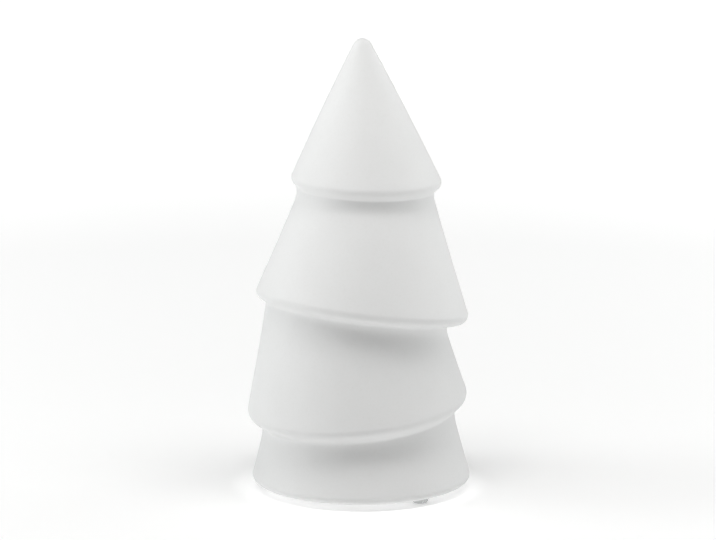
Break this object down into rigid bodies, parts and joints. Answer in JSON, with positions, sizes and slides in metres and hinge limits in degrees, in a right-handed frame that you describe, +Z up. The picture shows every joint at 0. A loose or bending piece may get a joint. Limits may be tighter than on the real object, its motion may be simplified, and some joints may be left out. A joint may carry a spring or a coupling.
{
  "type": "decorative christmas tree",
  "caption": "Matte white ceramic tree figure: a rounded cone tip over leaning flared tiers, hollow inside, with a drain hole in the flat base and small clear bumper feet.",
  "frame": {"origin": "on the surface that the feet stand on, under the middle of the body's bounding box", "axes": "+Z up through the tip, -Y towards the front that the picture shows, +X towards the right-hand side of the picture"},
  "size_m": [0.0991, 0.0972, 0.2],
  "materials": {
    "white_ceramic": "matte",
    "clear_bumper": "gloss",
    "adhesive_film": "satin"
  },
  "bodies": {
    "root": {"ceramic_body": "white_ceramic", "bumper_foot_1": "clear_bumper", "bumper_foot_2": "clear_bumper", "bumper_foot_3": "clear_bumper", "adhesive_disc_1": "adhesive_film", "adhesive_disc_2": "adhesive_film", "adhesive_disc_3": "adhesive_film"}
  },
  "joints": []
}
